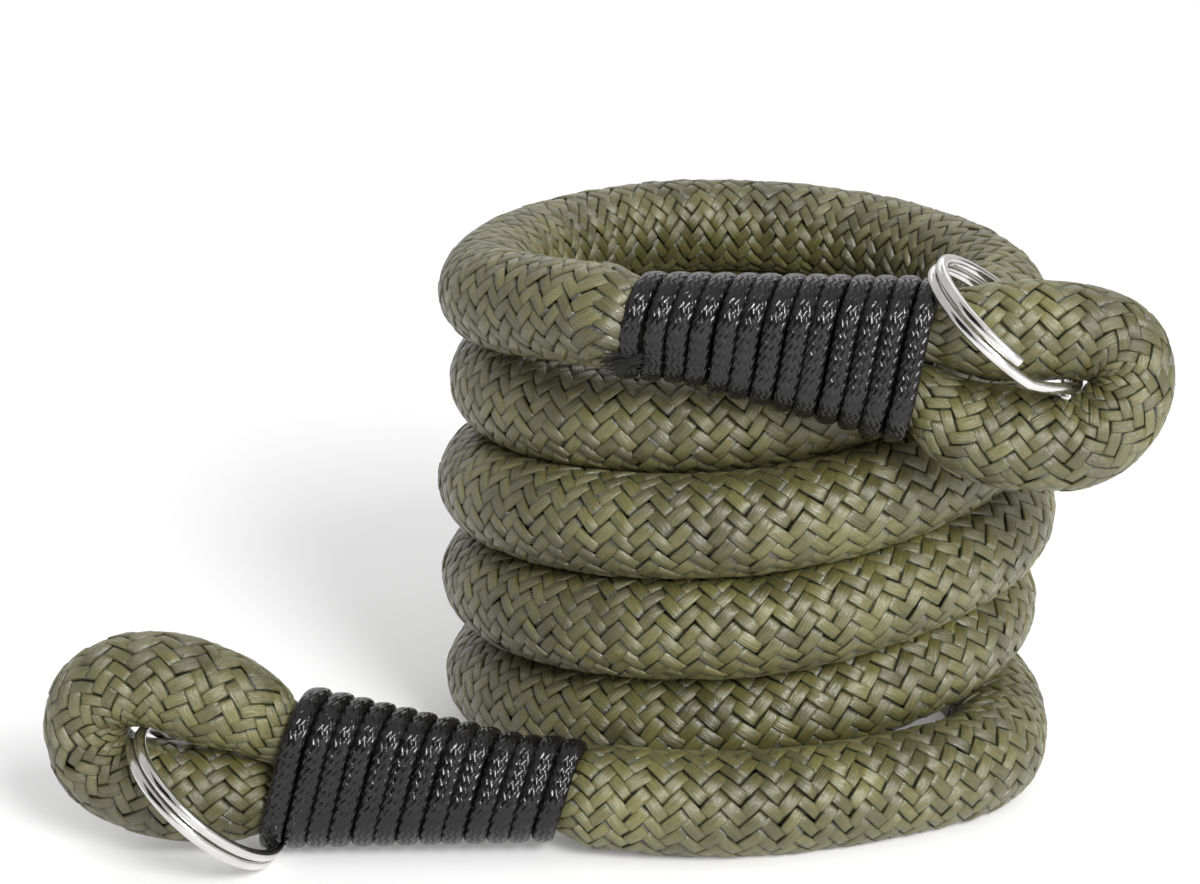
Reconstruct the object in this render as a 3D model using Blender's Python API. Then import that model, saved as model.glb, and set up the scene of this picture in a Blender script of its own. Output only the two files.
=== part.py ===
"""Camera neck strap: a thick braided rope whose two ends are folded back into loops, whipped with
waxed cord, and fitted with a split ring each. It is coiled into a round stack of five turns."""

import math

import bmesh
import bpy
from mathutils import Vector

# Rope
ROPE_DIAMETER = 0.012       # the round braid where nothing presses on it
ROPE_CLEARANCE = 0.0005     # between neighbouring stretches of the rope
REST_DEPTH = 0.0003         # how much of the rope is pressed flat where it lies on the ground

# Coil
COIL_RADIUS = 0.0303        # from the coil's axis to the rope's centreline
END_STEP = 0.0092           # how far the last stretch lies in front of the coil

# Where the two whippings start, on the coil's side
UPPER_NECK_SHIFT = 0.0139   # left of the coil's axis
LOWER_NECK_SHIFT = 0.0198
UPPER_NECK_REACH = 1.02     # in front of the coil's axis, as a share of COIL_RADIUS
UPPER_NECK_HEIGHT = 4.99    # of the rope's centreline there, in rope diameters
UPPER_END_AXIS = Vector((1.0, -0.05, -0.03))   # the way each looped end points
LOWER_END_AXIS = Vector((-1.0, 0.0, 0.0))
LOWER_END_LIFT = 0.0005     # how far the lower ring keeps its whipping off the ground

# Loops at the two ends
UPPER_LOOP_LENGTH = 0.0279  # from the edge of the whipping to the outside of the bend
LOWER_LOOP_LENGTH = 0.0270
UPPER_LOOP_CURL = -0.0006   # how far the loop bends towards its folded side at the eye
LOWER_LOOP_CURL = 0.0012
UPPER_LOOP_TILT = 12.0      # degrees that the upper loop's plane leans forward from upright
EYE_HEIGHT = 0.0036         # open height of the eye that the ring goes through
EYE_GIRTH = 0.78            # share of the rope's diameter where the ring squeezes it
LOOP_GIRTH = 0.96           # share of it where the loop's two legs press on each other

# Whipping of waxed cord
WHIPPING_LENGTH = 0.0325
CORD_DIAMETER = 0.0022
CORD_CLEARANCE = 0.0003     # between the cord and the rope, and between the cord's own turns
WHIPPING_LEAN = 7.0         # degrees that the turns lean from square across the rope
BOUND_DIAMETER = 0.0068     # the rope's diameter inside the whipping, at the loop
NECK_DIAMETER = 0.0053      # and at the end towards the coil
TAIL_DIAMETER = 0.0015      # the folded tail's thickness where it ends
TAIL_LENGTH = 0.026         # of the folded tail inside the whipping

# Split rings
RING_DIAMETER = 0.0210      # outside
RING_WIRE = 0.0012
RING_CLEARANCE = 0.00015    # between the two coils of the wire
RING_JOG = 30.0             # degrees over which the wire steps from one coil to the other

# How finely the pieces are divided
ROPE_STEP = 0.55            # distance between rope sections, in rope diameters
GUIDE_STEP = 0.25           # distance between the coil's worked-out points, in quarter turns
TAIL_STEPS = 4              # sections of the folded tail, and of the standing rope beside it
BEND_STEPS = 10             # sections in the bend of a loop
CORD_STEPS = 13             # sections in one turn of a whipping
RING_STEPS = 22             # sections in one coil of a ring
GROUND_WIDTH = 0.3          # of the slab that presses the rope flat

# The coil's route from the top down, seen from above it runs clockwise.
# quarter: quarter turns from the front of the top turn
# reach: distance from the coil's axis, as a share of COIL_RADIUS
# height: of the centreline above the ground, in rope diameters
COIL_TABLE = (
    # quarter, reach, height
    (0.48, 1.09, 4.93),
    (1, 1.00, 4.75),
    (2, 1.00, 4.84),
    (3, 1.03, 4.54),
    (3.5, 0.91, 4.26),
    (4, 0.79, 3.88),
    (5, 0.97, 3.75),
    (6, 1.00, 3.83),
    (7, 1.03, 3.52),
    (7.5, 1.01, 3.30),
    (8, 0.99, 3.00),
    (9, 1.02, 2.74),
    (10, 1.00, 2.68),
    (11, 1.08, 2.51),
    (11.5, 1.04, 2.33),
    (12, 1.00, 2.00),
    (13, 1.01, 1.73),
    (14, 1.00, 1.65),
    (15, 1.02, 1.52),
    (15.5, 0.98, 1.35),
    (16, 0.92, 1.00),
    (17, 1.00, 0.63),
    (18, 1.00, 0.50),
    (19, 1.00, 0.50),
    (19.5, 1.25, 0.50),
)

# The rope's thickness as it comes out of a whipping, on the loop's side and on the coil's side.
# away: distance from the whipping's edge, as a share of the way to the eye or of the rope's diameter
# girth: 0 is the bound rope and 1 the free rope
# opening: between the loop's legs, as a share of the eye's height
LOOP_SWELL = (
    # away, girth, opening
    (0.00, 0.00, 0.0),
    (0.12, 0.00, 0.0),
    (0.23, 0.12, 0.0),
    (0.35, 0.46, 0.0),
    (0.48, 0.88, 0.0),
    (0.61, 1.00, 0.0),
    (0.74, 0.88, 0.2),
    (0.88, 0.64, 0.75),
)
NECK_SWELL = (
    # away, girth
    (0.48, 1.00),
    (0.33, 0.88),
    (0.22, 0.50),
    (0.12, 0.05),
    (0.00, 0.00),
)

# Directions in which each ring's plane spreads out: from its centre to the eye, and through the eye
UPPER_RING_SPREAD = (Vector((0.742, -0.179, -0.646)), Vector((0.241, 0.970, 0.008)))
LOWER_RING_SPREAD = (Vector((-0.716, 0.28, 0.64)), Vector((0.10, 0.96, -0.10)))

ROPE_OLIVE = (0.178, 0.170, 0.098, 1.0)
CORD_BLACK = (0.014, 0.013, 0.017, 1.0)
RING_STEEL = (0.72, 0.71, 0.69, 1.0)


class EndFrame:
    """Where a looped end lies: its whipping starts at the neck and runs along the axis, and the
    folded tail lies to the side of the standing rope."""

    def __init__(self, neck, axis, side, loop_length, curl):
        self.neck = neck
        self.axis = axis.normalized()
        self.side = (side - self.axis * side.dot(self.axis)).normalized()
        self.normal = self.axis.cross(self.side)
        self.bend_radius = (EYE_HEIGHT + EYE_GIRTH * ROPE_DIAMETER) / 2
        self.eye_along = loop_length - self.bend_radius - EYE_GIRTH * ROPE_DIAMETER / 2
        self.curl = curl

    def point(self, along, side):
        """A point at a distance along the axis from the whipping's loop end, and to the side."""
        bend = self.curl * max(0.0, along / self.eye_along) ** 2
        lean = math.tan(math.radians(WHIPPING_LEAN)) * (BOUND_DIAMETER / 2 - side)
        base = self.neck + self.axis * (WHIPPING_LENGTH + along + lean)
        return base + self.side * (side + bend)

    def eye(self):
        return self.point(self.eye_along, self.bend_radius)


def ground_height():
    """Where the ground is, when the lowest turn's centreline is half a rope diameter up."""
    return ROPE_CLEARANCE / 2 + REST_DEPTH


def upper_frame():
    height = UPPER_NECK_HEIGHT * ROPE_DIAMETER
    neck = Vector((-UPPER_NECK_SHIFT, -COIL_RADIUS * UPPER_NECK_REACH, height))
    tilt = math.radians(UPPER_LOOP_TILT)
    side = Vector((0.0, -math.sin(tilt), -math.cos(tilt)))
    return EndFrame(neck, UPPER_END_AXIS, side, UPPER_LOOP_LENGTH, UPPER_LOOP_CURL)


def lower_frame():
    height = ground_height() + LOWER_END_LIFT
    height += CORD_DIAMETER + CORD_CLEARANCE + BOUND_DIAMETER / 2
    neck = Vector((-LOWER_NECK_SHIFT, -COIL_RADIUS - END_STEP, height))
    side = Vector((0.0, 0.0, 1.0))
    return EndFrame(neck, LOWER_END_AXIS, side, LOWER_LOOP_LENGTH, LOWER_LOOP_CURL)


def bound_diameter(depth):
    """The standing rope's diameter inside the whipping, at a depth from its loop end."""
    return BOUND_DIAMETER + (NECK_DIAMETER - BOUND_DIAMETER) * depth / WHIPPING_LENGTH


def tail_section(depth):
    """Offset and diameter of the folded tail, at a depth from the whipping's loop end."""
    taper = min(1.0, depth / TAIL_LENGTH)
    diameter = BOUND_DIAMETER + (TAIL_DIAMETER - BOUND_DIAMETER) * taper
    return (bound_diameter(depth) + diameter) / 2 + ROPE_CLEARANCE, diameter


def looped_end(frame):
    """Guide points and diameters of one end, from the tail's tip round the loop to the neck."""
    loop_swell = LOOP_GIRTH * ROPE_DIAMETER - BOUND_DIAMETER
    neck_swell = ROPE_DIAMETER - NECK_DIAMETER
    guides = []
    for step in range(TAIL_STEPS):
        depth = TAIL_LENGTH * (1.0 - step / TAIL_STEPS)
        offset, diameter = tail_section(depth)
        guides.append((frame.point(-depth, offset), diameter))
    for away, swell, opening in LOOP_SWELL:
        diameter = BOUND_DIAMETER + loop_swell * swell
        offset = diameter + 2 * ROPE_CLEARANCE + EYE_HEIGHT * opening
        guides.append((frame.point(away * frame.eye_along, offset), diameter))
    for step in range(BEND_STEPS + 1):
        turn = math.pi * step / BEND_STEPS
        along = frame.eye_along + frame.bend_radius * math.sin(turn)
        offset = frame.bend_radius * (1.0 + math.cos(turn))
        guides.append((frame.point(along, offset), EYE_GIRTH * ROPE_DIAMETER))
    for away, swell, _ in reversed(LOOP_SWELL):
        diameter = BOUND_DIAMETER + loop_swell * swell
        guides.append((frame.point(away * frame.eye_along, 0.0), diameter))
    for step in range(1, TAIL_STEPS):
        depth = WHIPPING_LENGTH * step / TAIL_STEPS
        guides.append((frame.point(-depth, 0.0), bound_diameter(depth)))
    for away, swell in reversed(NECK_SWELL):
        diameter = NECK_DIAMETER + neck_swell * swell
        guides.append((frame.point(-WHIPPING_LENGTH - away * ROPE_DIAMETER, 0.0), diameter))
    return guides


def table_value(column, quarter):
    """A column of the coil's table at any quarter, on a smooth curve through its rows."""
    last = len(COIL_TABLE) - 1
    row = max(i for i in range(last) if COIL_TABLE[i][0] <= quarter)

    def slope(i):
        low, high = COIL_TABLE[max(i - 1, 0)], COIL_TABLE[min(i + 1, last)]
        return (high[column] - low[column]) / (high[0] - low[0])

    start, end = COIL_TABLE[row], COIL_TABLE[row + 1]
    span = end[0] - start[0]
    t = (quarter - start[0]) / span
    rise = (2 * t ** 3 - 3 * t ** 2 + 1) * start[column] + (3 * t ** 2 - 2 * t ** 3) * end[column]
    bend = (t ** 3 - 2 * t ** 2 + t) * slope(row) + (t ** 3 - t ** 2) * slope(row + 1)
    return rise + bend * span


def coil_guides():
    """Guide points of the coil, from the top turn down to the last turn on the ground."""
    first, last = COIL_TABLE[0][0], COIL_TABLE[-1][0]
    count = round((last - first) / GUIDE_STEP)
    guides = []
    for step in range(count + 1):
        quarter = first + (last - first) * step / count
        reach = table_value(1, quarter) * COIL_RADIUS
        angle = math.radians(90.0 * quarter)
        height = table_value(2, quarter) * ROPE_DIAMETER
        point = Vector((-reach * math.sin(angle), -reach * math.cos(angle), height))
        guides.append((point, ROPE_DIAMETER))
    return guides


def spline_point(p0, p1, p2, p3, t):
    """A point between p1 and p2 on a centripetal Catmull-Rom curve."""
    k0 = 0.0
    k1 = k0 + (p1 - p0).length ** 0.5
    k2 = k1 + (p2 - p1).length ** 0.5
    k3 = k2 + (p3 - p2).length ** 0.5
    k = k1 + (k2 - k1) * t
    a1 = p0.lerp(p1, (k - k0) / (k1 - k0))
    a2 = p1.lerp(p2, (k - k1) / (k2 - k1))
    a3 = p2.lerp(p3, (k - k2) / (k3 - k2))
    b1 = a1.lerp(a2, (k - k0) / (k2 - k0))
    b2 = a2.lerp(a3, (k - k1) / (k3 - k1))
    return b1.lerp(b2, (k - k1) / (k2 - k1))


def smooth_route(guides, step):
    """The guides with more points between them on a smooth curve, at most a step apart."""
    route = [guides[0]]
    for i in range(len(guides) - 1):
        p1, d1 = guides[i]
        p2, d2 = guides[i + 1]
        p0 = guides[i - 1][0] if i > 0 else p1 * 2 - p2
        p3 = guides[i + 2][0] if i + 2 < len(guides) else p2 * 2 - p1
        count = max(1, round((p2 - p1).length / step))
        for k in range(1, count):
            t = k / count
            route.append((spline_point(p0, p1, p2, p3, t), d1 + (d2 - d1) * t))
        route.append((p2, d2))
    return route


def rope_route():
    upper = looped_end(upper_frame())
    lower = looped_end(lower_frame())
    last_height = COIL_TABLE[-1][2] * ROPE_DIAMETER
    front = (Vector((0.0, -COIL_RADIUS - END_STEP, last_height)), ROPE_DIAMETER)
    guides = upper + coil_guides() + [front] + lower[::-1]
    return smooth_route(guides, ROPE_STEP * ROPE_DIAMETER)


def whipping_route(frame):
    """The cord's centreline, wound round the standing rope and the folded tail beside it."""
    pitch = CORD_DIAMETER + CORD_CLEARANCE
    turns = int((WHIPPING_LENGTH - CORD_DIAMETER) / pitch)
    start = (WHIPPING_LENGTH - turns * pitch) / 2
    points = []
    for step in range(turns * CORD_STEPS + 1):
        along = -start - pitch * step / CORD_STEPS
        offset, tail_diameter = tail_section(-along)
        angle = math.tau * step / CORD_STEPS
        outward = frame.side * math.cos(angle) + frame.normal * math.sin(angle)
        lift = CORD_CLEARANCE + CORD_DIAMETER / 2
        leaned = outward - frame.axis * math.tan(math.radians(WHIPPING_LEAN)) * math.cos(angle)
        standing = frame.point(along, 0.0) + leaned * (bound_diameter(-along) / 2 + lift)
        tail = frame.point(along, offset) + leaned * (tail_diameter / 2 + lift)
        points.append(max(standing, tail, key=lambda point: point.dot(outward)))
    return points


def ring_route(frame, spread):
    """Two coils of wire side by side, with the step between them next to the eye."""
    reach, sweep = spread[0].normalized(), spread[1].normalized()
    sweep = (sweep - reach * sweep.dot(reach)).normalized()
    axis = reach.cross(sweep)
    radius = (RING_DIAMETER - RING_WIRE) / 2
    centre = frame.eye() - reach * radius
    half = (RING_WIRE + RING_CLEARANCE) / 2
    points = []
    turn = 720.0 - 2 * RING_JOG
    count = round(turn / 360.0 * RING_STEPS)
    for step in range(count + 1):
        degrees = turn * (step / count - 0.5)
        shift = half * max(-1.0, min(1.0, 2.0 * degrees / RING_JOG))
        angle = math.radians(degrees - 2.0 * RING_JOG)
        arm = reach * math.cos(angle) + sweep * math.sin(angle)
        points.append(centre + arm * radius + axis * shift)
    return points


def material(name, colour, roughness, metallic=0.0):
    result = bpy.data.materials.new(name)
    result.use_nodes = True
    shader = result.node_tree.nodes["Principled BSDF"]
    shader.inputs["Base Color"].default_value = colour
    shader.inputs["Roughness"].default_value = roughness
    shader.inputs["Metallic"].default_value = metallic
    result.diffuse_color = colour
    return result


def tube(name, route, collection, finish, resolution=2):
    """A curve object along (point, diameter) pairs, with closed ends."""
    curve = bpy.data.curves.new(name, "CURVE")
    curve.dimensions = "3D"
    curve.bevel_depth = 0.5
    curve.bevel_resolution = resolution
    curve.use_fill_caps = True
    spline = curve.splines.new("POLY")
    spline.points.add(len(route) - 1)
    for knot, (point, diameter) in zip(spline.points, route):
        knot.co = (*point, 1.0)
        knot.radius = diameter
    curve.materials.append(finish)
    piece = bpy.data.objects.new(name, curve)
    collection.objects.link(piece)
    return piece


def as_mesh(piece):
    """The same piece as a welded mesh object, which a Boolean can cut."""
    bpy.context.view_layer.update()
    graph = bpy.context.evaluated_depsgraph_get()
    mesh = bpy.data.meshes.new_from_object(piece.evaluated_get(graph))
    shell = bmesh.new()
    shell.from_mesh(mesh)
    bmesh.ops.remove_doubles(shell, verts=shell.verts, dist=0.000001)
    bmesh.ops.recalc_face_normals(shell, faces=shell.faces)
    shell.to_mesh(mesh)
    shell.free()
    result = bpy.data.objects.new(piece.name, mesh)
    result.matrix_world = piece.matrix_world
    collection = piece.users_collection[0]
    bpy.data.objects.remove(piece)
    collection.objects.link(result)
    result.name = mesh.name
    return result


def ground_cutter(collection):
    """A slab with its top at the ground, which presses the rope flat there."""
    bpy.ops.mesh.primitive_cube_add(size=1.0)
    slab = bpy.context.object
    slab.name = "ground_cutter"
    slab.dimensions = (GROUND_WIDTH, GROUND_WIDTH, ROPE_DIAMETER)
    slab.location = (0.0, 0.0, ground_height() - ROPE_DIAMETER / 2)
    for owner in list(slab.users_collection):
        owner.objects.unlink(slab)
    collection.objects.link(slab)
    slab.hide_render = True
    slab.display_type = "WIRE"
    return slab


def build_rope(collection, cutters):
    olive = material("olive_rope", ROPE_OLIVE, 0.7)
    route = []
    for point, diameter in rope_route():
        route.append((point, diameter - ROPE_CLEARANCE))
    rope = as_mesh(tube("rope", route, collection, olive, resolution=3))
    cut = rope.modifiers.new("rest", "BOOLEAN")
    cut.operation = "DIFFERENCE"
    cut.solver = "EXACT"
    cut.object = ground_cutter(cutters)
    rope.data.shade_smooth()
    return rope


def build_whipping(name, frame, collection, finish):
    route = [(point, CORD_DIAMETER) for point in whipping_route(frame)]
    return tube(name, route, collection, finish)


def build_ring(name, frame, spread, collection, finish):
    route = [(point, RING_WIRE) for point in ring_route(frame, spread)]
    return tube(name, route, collection, finish)


def centre_on_ground(pieces, followers):
    """Moves everything by one empty, so that the strap is centred above the origin, on the ground."""
    bpy.context.view_layer.update()
    graph = bpy.context.evaluated_depsgraph_get()
    points = []
    for piece in pieces:
        shown = piece.evaluated_get(graph)
        points += [piece.matrix_world @ vertex.co for vertex in shown.to_mesh().vertices]
        shown.to_mesh_clear()
    middle_x = (min(point.x for point in points) + max(point.x for point in points)) / 2
    middle_y = (min(point.y for point in points) + max(point.y for point in points)) / 2
    origin = bpy.data.objects.new("strap_origin", None)
    origin.location = (-middle_x, -middle_y, -ground_height())
    bpy.context.scene.collection.objects.link(origin)
    for piece in pieces + followers:
        piece.parent = origin


def build():
    for old in list(bpy.data.objects):
        bpy.data.objects.remove(old)
    strap = bpy.data.collections.new("camera_neck_strap")
    cutters = bpy.data.collections.new("cutters")
    bpy.context.scene.collection.children.link(strap)
    bpy.context.scene.collection.children.link(cutters)
    black = material("waxed_cord", CORD_BLACK, 0.35)
    steel = material("ring_steel", RING_STEEL, 0.22, metallic=1.0)
    build_rope(strap, cutters)
    build_whipping("upper_whipping", upper_frame(), strap, black)
    build_whipping("lower_whipping", lower_frame(), strap, black)
    build_ring("upper_split_ring", upper_frame(), UPPER_RING_SPREAD, strap, steel)
    build_ring("lower_split_ring", lower_frame(), LOWER_RING_SPREAD, strap, steel)
    centre_on_ground(list(strap.objects), list(cutters.objects))


build()
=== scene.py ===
# %% [markdown]
# # A camera neck strap, coiled in a stack
# The strap is one thick braided rope. At each end the rope is folded back on itself into a loop, the
# fold is bound with black waxed cord, and a split ring hangs in the loop. This lesson starts from the
# plain solids of the strap, which give every place and size, and dresses them: the rope gets its
# braid, the bindings get real windings, and the rings get their polished wire. Lengths are in metres
# here, and what is printed is in millimetres where it says so.

# %% Load the plain solids
import math

import bmesh
import bpy
import numpy as np
from mathutils import Matrix, Vector


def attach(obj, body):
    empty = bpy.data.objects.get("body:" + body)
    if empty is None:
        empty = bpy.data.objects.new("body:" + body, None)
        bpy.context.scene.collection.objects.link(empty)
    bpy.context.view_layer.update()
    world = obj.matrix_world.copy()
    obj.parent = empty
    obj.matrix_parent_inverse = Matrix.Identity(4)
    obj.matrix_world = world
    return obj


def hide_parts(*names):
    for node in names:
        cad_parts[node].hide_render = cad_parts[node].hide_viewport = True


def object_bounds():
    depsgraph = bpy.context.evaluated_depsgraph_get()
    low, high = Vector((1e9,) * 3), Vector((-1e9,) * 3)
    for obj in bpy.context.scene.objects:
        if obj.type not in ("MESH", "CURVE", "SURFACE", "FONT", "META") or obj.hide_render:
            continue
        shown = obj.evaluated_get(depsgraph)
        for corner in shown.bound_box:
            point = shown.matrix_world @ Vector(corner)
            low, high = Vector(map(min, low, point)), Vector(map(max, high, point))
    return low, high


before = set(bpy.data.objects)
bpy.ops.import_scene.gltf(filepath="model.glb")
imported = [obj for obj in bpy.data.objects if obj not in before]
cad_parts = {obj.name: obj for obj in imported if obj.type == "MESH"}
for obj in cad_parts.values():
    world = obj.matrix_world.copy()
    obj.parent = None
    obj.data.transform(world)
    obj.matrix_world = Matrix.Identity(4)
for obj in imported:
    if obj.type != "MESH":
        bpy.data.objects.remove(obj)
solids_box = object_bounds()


def in_mm(values):
    return [round(1000 * float(value), 1) for value in values]


print("solids:", sorted(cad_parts))
print("size in mm:", in_mm(high - low for low, high in zip(*solids_box)))

# %% [markdown]
# ## The camera
# The camera comes first, because it decides how much of the strap is seen and how large. It stands a
# little above the coil and close to it, so the looped ends, which lie nearer, look larger than the
# coil behind them. A long lens on a stand gives the same calm view.

# %% Camera
TARGET = Vector((-0.0005, 0.0084, 0.0365))
CAMERA_DISTANCE = 0.350
CAMERA_RISE = math.radians(15.5)
SENSOR_WIDTH = 36.0
LENS = 85.8


def add_object(name, data):
    made = bpy.data.objects.new(name, data)
    bpy.context.scene.collection.objects.link(made)
    return made


camera_data = bpy.data.cameras.new("camera")
camera_data.sensor_fit = "HORIZONTAL"
camera_data.sensor_width = SENSOR_WIDTH
camera_data.lens = LENS
camera_data.clip_start = 0.01
camera = add_object("camera", camera_data)
back = Vector((0.0, -math.cos(CAMERA_RISE), math.sin(CAMERA_RISE)))
camera.location = TARGET + back * CAMERA_DISTANCE
camera.rotation_euler = (math.pi / 2 - CAMERA_RISE, 0.0, 0.0)
bpy.context.scene.camera = camera
print("camera in mm:", in_mm(camera.location))

# %% [markdown]
# ## The sizes of the strap
# A braided rope of 12 mm is soft but holds its round shape. These are the sizes that the solids were
# made with, and the braid, the windings and the rings are all worked out from them. Places on the
# rope are counted from the axis of the coil, which stands a little beside the centre of the whole.

# %% Sizes
ROPE_DIAMETER = 0.012
COIL_AXIS = Vector((0.01653, 0.00837, -0.00055))
COIL_RADIUS = 0.0303
WHIPPING_LENGTH = 0.0325
BOUND_DIAMETER = 0.0068
CORD_DIAMETER = 0.0022
CORD_CLEARANCE = 0.0003
RING_DIAMETER = 0.0210
RING_WIRE = 0.0012
print("rope, coil and ring across in mm:", in_mm((ROPE_DIAMETER, 2 * COIL_RADIUS, RING_DIAMETER)))

# %% [markdown]
# ## The coil as a table
# A coil laid by hand is no even spring: each turn sinks where nothing holds it and leans out where
# the next one pushes. A formula would be too regular, and a long list of points couldn't be read or
# changed. A short table from the top turn down says it in three columns: quarter turns from the
# front of the top turn, distance from the axis as a share of COIL_RADIUS, and height of the
# centreline in rope diameters.

# %% Table of the coil
COIL_TABLE = (
    # quarter, reach, height
    (0.48, 1.09, 4.93),
    (1, 1.00, 4.75),
    (2, 1.00, 4.84),
    (3, 1.03, 4.54),
    (3.5, 0.91, 4.26),
    (4, 0.79, 3.88),
    (5, 0.97, 3.75),
    (6, 1.00, 3.87),
    (7, 1.03, 3.52),
    (7.5, 1.01, 3.30),
    (8, 0.99, 3.00),
    (9, 1.02, 2.74),
    (10, 1.00, 2.68),
    (11, 1.08, 2.51),
    (11.5, 1.04, 2.33),
    (12, 1.00, 2.00),
    (13, 1.01, 1.73),
    (14, 1.00, 1.65),
    (15, 1.02, 1.52),
    (15.5, 0.98, 1.35),
    (16, 0.92, 1.00),
    (17, 1.00, 0.63),
    (18, 1.00, 0.50),
    (19, 1.00, 0.50),
    (19.5, 1.25, 0.50),
)
print("rows:", len(COIL_TABLE), "turns:", COIL_TABLE[-1][0] / 4)

# %% [markdown]
# ## The two looped ends
# Each end is a fold: the rope comes out of its binding, swells to its full thickness, turns round the
# eye that holds the ring, and comes back into the binding as a tail that thins out and stops. Both
# ends have the same make, so one small frame, with a direction along the binding and one to the side
# of the tail, places everything on them.

# %% Sizes of the looped ends
END_STEP = 0.0092
UPPER_NECK_SHIFT = 0.0139
UPPER_NECK_REACH = 1.02
UPPER_NECK_HEIGHT = 4.99
UPPER_AXIS = Vector((1.0, -0.05, -0.03))
UPPER_LOOP_LENGTH = 0.0279
UPPER_LOOP_CURL = -0.0006
UPPER_LOOP_TILT = 12.0
UPPER_GAPE = 0.9
LOWER_NECK_SHIFT = 0.0198
LOWER_AXIS = Vector((-1.0, 0.0, 0.0))
LOWER_LOOP_LENGTH = 0.0270
LOWER_LOOP_CURL = 0.0012
LOWER_GAPE = 1.35
LOWER_END_LIFT = 0.0005
GROUND = 0.00055
WHIPPING_LEAN = 7.0
EYE_HEIGHT = 0.0036
EYE_GIRTH = 0.78
print("loops in mm:", in_mm((UPPER_LOOP_LENGTH, LOWER_LOOP_LENGTH)))

# %% [markdown]
# A point on an end is asked for by its distance beyond the binding and its distance towards the
# tail. The frame adds the two things that make the ends look hand-made: the loop curls a little
# sideways, and the mouth of the binding is cut at a slant.

# %% Frames of the looped ends
class EndFrame:
    def __init__(self, neck, axis, side, loop_length, curl, gape):
        self.neck = neck
        self.axis = axis.normalized()
        self.side = (side - self.axis * side.dot(self.axis)).normalized()
        self.normal = self.axis.cross(self.side)
        self.bend_radius = (EYE_HEIGHT + EYE_GIRTH * ROPE_DIAMETER) / 2
        self.eye_along = loop_length - self.bend_radius - EYE_GIRTH * ROPE_DIAMETER / 2
        self.curl = curl
        self.gape = gape

    def point(self, along, side):
        bend = self.curl * max(0.0, along / self.eye_along) ** 2
        lean = math.tan(math.radians(WHIPPING_LEAN)) * (BOUND_DIAMETER / 2 - side)
        return self.neck + self.axis * (WHIPPING_LENGTH + along + lean) + self.side * (side + bend)


upper_neck = Vector((-UPPER_NECK_SHIFT, -COIL_RADIUS * UPPER_NECK_REACH,
                     UPPER_NECK_HEIGHT * ROPE_DIAMETER))
tilt = math.radians(UPPER_LOOP_TILT)
upper_end = EndFrame(COIL_AXIS + upper_neck, UPPER_AXIS,
                     Vector((0.0, -math.sin(tilt), -math.cos(tilt))), UPPER_LOOP_LENGTH,
                     UPPER_LOOP_CURL, UPPER_GAPE)
lower_neck = Vector((-LOWER_NECK_SHIFT, -COIL_RADIUS - END_STEP,
                     GROUND + LOWER_END_LIFT + CORD_DIAMETER + CORD_CLEARANCE + BOUND_DIAMETER / 2))
lower_end = EndFrame(COIL_AXIS + lower_neck, LOWER_AXIS, Vector((0.0, 0.0, 1.0)),
                     LOWER_LOOP_LENGTH, LOWER_LOOP_CURL, LOWER_GAPE)
print("eyes in mm:", [in_mm(end.point(end.eye_along, end.bend_radius))
                      for end in (upper_end, lower_end)])

# %% [markdown]
# ## The route of the rope
# The rope is one line from the tail of the upper loop, down the five turns, to the tail of the lower
# loop. Guide points along it carry the rope's thickness too, because the bindings squeeze it. A
# smooth curve through the guides then gives a point every half millimetre.

# %% Guides of a looped end
# away: distance from the binding, as a share of the way to the eye or of the rope's diameter
# girth: 0 is the bound rope and 1 the free rope; opening: between the legs, as a share of the eye
LOOP_SWELL = (
    # away, girth, opening
    (0.00, 0.06, 0.0),
    (0.08, 0.24, 0.0),
    (0.20, 0.52, 0.0),
    (0.33, 0.77, 0.0),
    (0.47, 0.94, 0.0),
    (0.61, 0.99, 0.05),
    (0.75, 0.94, 0.24),
    (0.88, 0.86, 0.46),
)
NECK_SWELL = (
    # away, girth
    (0.12, 0.93),
    (0.00, 0.68),
    (-0.12, 0.36),
    (-0.30, 0.08),
)
LOOP_GIRTH = 0.96
LEG_GIRTH = 0.88
BEND_GIRTH = 0.78
NECK_DIAMETER = 0.0053
TAIL_DIAMETER = 0.0015
TAIL_LENGTH = 0.026
BEND_PRESS = 0.00036
BEND_STEPS = 10
TAIL_STEPS = 4


def bound_diameter(depth):
    return BOUND_DIAMETER + (NECK_DIAMETER - BOUND_DIAMETER) * depth / WHIPPING_LENGTH


def tail_section(depth):
    taper = min(1.0, depth / TAIL_LENGTH)
    diameter = BOUND_DIAMETER + (TAIL_DIAMETER - BOUND_DIAMETER) * taper
    return (bound_diameter(depth) + diameter) / 2 + CORD_CLEARANCE, diameter


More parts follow.
